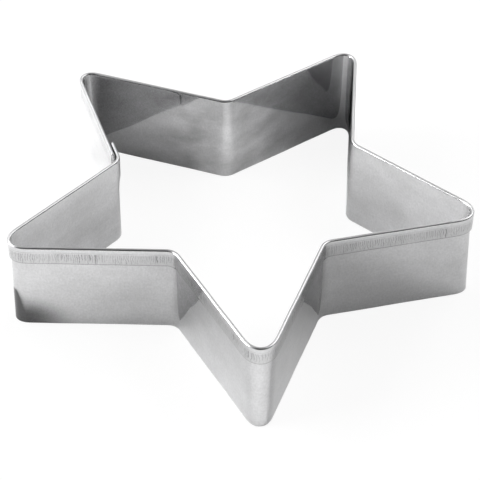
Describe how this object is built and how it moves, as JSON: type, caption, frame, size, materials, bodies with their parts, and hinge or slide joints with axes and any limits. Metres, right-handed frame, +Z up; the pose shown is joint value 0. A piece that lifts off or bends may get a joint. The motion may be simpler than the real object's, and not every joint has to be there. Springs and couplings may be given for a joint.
{
  "type": "cookie cutter",
  "caption": "Star-shaped cookie cutter: an open ring of thin bent steel strip with a folded hem along the top, a plain cutting edge below and a spot-welded lap seam.",
  "frame": {"origin": "middle of the cutter's outline box, on the plane of the cutting edge", "axes": "+Z up from the cutting edge to the hemmed rim, the front tip of the star towards -Y, +X to the right"},
  "size_m": [0.0888, 0.0846, 0.02],
  "materials": {
    "steel_strip": "bright cold-rolled stainless steel, faint rolling grain",
    "weld_metal": "fused stainless steel of the spot welds"
  },
  "bodies": {
    "root": {"cutter_strip": "steel_strip", "seam_welds": "weld_metal"}
  },
  "joints": []
}
